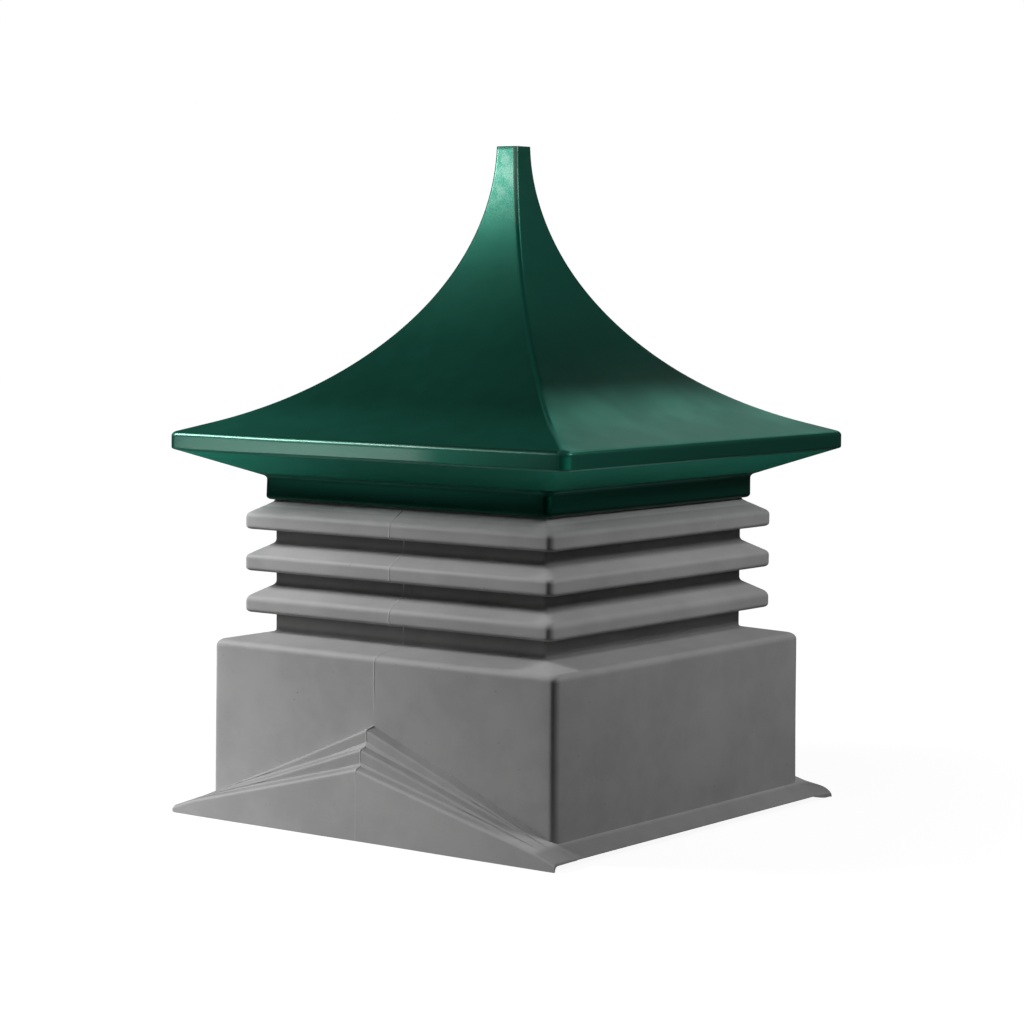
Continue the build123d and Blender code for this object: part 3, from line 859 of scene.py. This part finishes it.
# Collar that sleeves over the neck, with the cove that leads into the soffit.
collar_top, sleeve = SOFFIT_ROOT + board_skin, NECK_HALF + 0.1
collar_section = soften([
    (sleeve, COLLAR_LOW), (COLLAR_HALF, COLLAR_LOW), (COLLAR_HALF, SOFFIT_ROOT), (board_in, board_start),
    (board_in, board_start + board_skin), (COLLAR_HALF, collar_top), (NECK_HALF - SKIN, collar_top),
    (NECK_HALF - SKIN, NECK_TOP), (COLLAR_HALF - SKIN, NECK_TOP), (COLLAR_HALF - SKIN, COLLAR_LOW + SKIN),
    (sleeve, COLLAR_LOW + SKIN)],
    (0.6, COLLAR_EDGE, COVE_RADIUS, 0, 0, 0, 0, 0, 1, 1, 0.6))[0]
collar_section = spaced(collar_section, 6)
make_piece("roof_collar", carried_round(collar_section, COLLAR_ARRIS), green,
           [side + "_collar" for side in SIDES])


# ---- mould seams ------------------------------------------------------------------
PANEL_LEVELS = (0.5, 8, 16, 24, 32, 40, 48, 56)
SEAM_FOOT, SEAM_KEEL = 0.12, 0.6            # how deep its edges and its hidden middle lie
SEAM_POINTS = 9


def seam(side, width=2.6, height=0.5):
    """Low bead where the mould halves met, up the middle of a gable side.

    The bead's back is half a cosine wave to the power of one and a half, and its foot
    lies just under the surface.  It follows the middle section of the skirt, box, shoulder
    and louvres, and on the panel it is half as high.
    """
    path = [(DEPTHS[3], level) for level in PANEL_LEVELS]
    for step in (2, 1, 0):
        path += [(DEPTHS[step + 1], ledge(step, 0, 1)), (DEPTHS[step], ledge(step, 0, 0))]
    path[-1] = (BOX_HALF + draft(path[-1][1]), path[-1][1])
    path += [(BOX_HALF, BOX_HEIGHT), (NECK_HALF, SHOULDER_TOP)]
    radii = [0] * len(PANEL_LEVELS) + [3.6, 1.5, 2.5, 1.5, 2.2, 1] + [BOX_EDGE, 3]
    for low, edge in zip(LOUVRE_LOWS, LOUVRE_EDGES):
        path += [(NECK_HALF, low), (NOSE_HALF, low),
                 (NOSE_HALF, low + LOUVRE_NOSE), (NECK_HALF, low + LOUVRE_RISE)]
        radii += [LOUVRE_ROOT, LOUVRE_LIP, edge, LOUVRE_HEAD]
    path += [(NECK_HALF, COLLAR_LOW + 2), (0, COLLAR_LOW + 2)]
    line = soften(path, radii + [0, 0], 5)[0][:-1]
    heading = np.gradient(line, axis=0)
    heading /= np.maximum(np.linalg.norm(heading, axis=1), 1e-9)[:, None]
    outward = np.column_stack((heading[:, 1], -heading[:, 0]))
    back = np.linspace(-1, 1, SEAM_POINTS)
    share = np.append(back, 0.0)
    swell = np.where(line[:, 0] > DEPTHS[3] - 1, 0.5, 1.0)
    mound = np.append(height * np.cos(back * math.pi / 2) ** 1.5, 0.0)
    foot = np.append(np.full(SEAM_POINTS, -SEAM_FOOT), -SEAM_KEEL)
    flat = line[None] + outward[None] * (mound[:, None] * swell[None] + foot[:, None])[..., None]
    turn = 1 if side == "front" else -1
    points = np.stack((np.broadcast_to(turn * width / 2 * share[:, None], flat.shape[:2]),
                       -turn * flat[..., 0], flat[..., 1]), -1)
    make_piece(side + "_seam", points, bead_grey_painted_highlight, ends=True, crease=75)


seam("front")
seam("back")

# ---- camera, floor, light --------------------------------------------------------
CAMERA_PLACE = (1.9036, -2.5266, 0.5843)
CAMERA_TURN, CAMERA_DIP, CAMERA_ROLL = 36.98, 4.71, 0.0066      # turn and dip in degrees
LENS, SENSOR = 102.2, 36.0


def aim(turn, dip, roll):
    """Rotation of a camera that looks along a compass turn, tipped down by dip, rolled by roll."""
    turn, dip = math.radians(turn), math.radians(dip)
    forward = np.array((-math.sin(turn) * math.cos(dip), math.cos(turn) * math.cos(dip), -math.sin(dip)))
    right = np.array((math.cos(turn), math.sin(turn), 0.0))
    up = np.cross(right, forward)
    return Matrix(np.column_stack((right, up, -forward)).tolist()) @ Matrix.Rotation(roll, 3, "Z")


camera_data = bpy.data.cameras.new("studio_camera")
camera_data.lens, camera_data.sensor_width = LENS, SENSOR
camera = bpy.data.objects.new("studio_camera", camera_data)
camera_turned = aim(CAMERA_TURN, CAMERA_DIP, CAMERA_ROLL)
camera.matrix_world = Matrix.Translation(CAMERA_PLACE) @ camera_turned.to_4x4()
bpy.context.scene.collection.objects.link(camera)
bpy.context.scene.camera = camera


def softbox(name, place, target, size, radiance):
    """A rectangular lamp aimed at a target: its power is pi times its radiance and its area."""
    data = bpy.data.lights.new(name, "AREA")
    data.shape = "RECTANGLE"
    data.size, data.size_y = size
    data.energy = radiance * math.pi * size[0] * size[1]
    lamp = bpy.data.objects.new(name, data)
    away = np.asarray(place, float) - np.asarray(target, float)
    away /= np.linalg.norm(away)
    right = np.cross((0, 0, 1), away)
    right /= np.linalg.norm(right)
    up = np.cross(away, right)
    turned = Matrix(np.column_stack((right, up, away)).tolist())
    lamp.matrix_world = Matrix.Translation(place) @ turned.to_4x4()
    bpy.context.scene.collection.objects.link(lamp)


softbox("left_window", (-0.835, -0.716, 0.890), (0, 0, 0.61), (0.335, 0.294), 52.0)
softbox("right_fill", (1.07, 0.34, 1.15), (0, 0, 0.35), (0.45, 0.6), 11.6)
softbox("right_wall", (0.95, 1.65, 1.00), (0, 0, 0.45), (1.2, 1.8), 0.06)
softbox("back_wall", (-0.50, 1.50, 1.12), (0.2, 0, 0.45), (0.8, 0.34), 0.45)
softbox("eave_sill", (-0.43, -0.68, 0.345), (-0.43, -0.679, 1.0), (0.48, 0.3), 15.5)
softbox("right_sill", (0.66, -0.26, 0.335), (0.66, -0.259, 1.0), (0.5, 0.36), 4.2)
softbox("foot_strip", (-0.74, -0.86, 0.200), (-0.74, -0.855, 0.0), (1.0, 0.3), 11.0)

FLOOR_HALF, FLOOR_TONE = 9.0, 0.12
floor_mesh = bpy.data.meshes.new("studio_floor")
floor_corners = [(x * FLOOR_HALF, y * FLOOR_HALF, 0) for x, y in ((-1, -1), (1, -1), (1, 1), (-1, 1))]
floor_mesh.from_pydata(floor_corners, [], [(0, 1, 2, 3)])
floor = bpy.data.objects.new("studio_floor", floor_mesh)
bpy.context.scene.collection.objects.link(floor)


def pale_floor():
    """A matt floor that keeps a soft shadow, with a glow for the camera alone that makes it white.

    The glow is a little weaker near the middle than further out.
    """
    material = bpy.data.materials.new("pale_floor")
    material.use_nodes = True
    tree = material.node_tree
    tree.nodes.remove(tree.nodes["Principled BSDF"])
    matt = tree.nodes.new("ShaderNodeBsdfDiffuse")
    matt.inputs["Color"].default_value = (FLOOR_TONE, FLOOR_TONE, FLOOR_TONE, 1)
    glow = tree.nodes.new("ShaderNodeEmission")
    glow.inputs["Color"].default_value = (1, 1, 1, 1)
    seen = tree.nodes.new("ShaderNodeLightPath").outputs["Is Camera Ray"]
    distance = tree.nodes.new("ShaderNodeVectorMath")
    distance.operation = "LENGTH"
    wire(tree, (tree.nodes.new("ShaderNodeTexCoord").outputs["Object"], distance.inputs[0]))
    outward = spread(tree, distance.outputs["Value"], 0.40, 1.10, 0.93, 1.0)
    both = tree.nodes.new("ShaderNodeAddShader")
    wire(tree, (product(tree, seen, outward), glow.inputs["Strength"]),
         (matt.outputs[0], both.inputs[0]), (glow.outputs[0], both.inputs[1]),
         (both.outputs[0], tree.nodes["Material Output"].inputs["Surface"]))
    return material


floor_mesh.materials.append(pale_floor())

# The surroundings are white to the camera and give the object next to no light.
AMBIENT = 0.01
world = bpy.data.worlds.new("studio")
world.use_nodes = True
sky = world.node_tree
ambient = sky.nodes["Background"]
ambient.inputs["Color"].default_value = (1, 1, 1, 1)
seen = sky.nodes.new("ShaderNodeLightPath").outputs["Is Camera Ray"]
wire(sky, (total(sky, product(sky, seen, 1 - AMBIENT), AMBIENT), ambient.inputs["Strength"]))
bpy.context.scene.world = world
bpy.context.scene.view_settings.view_transform = "Standard"
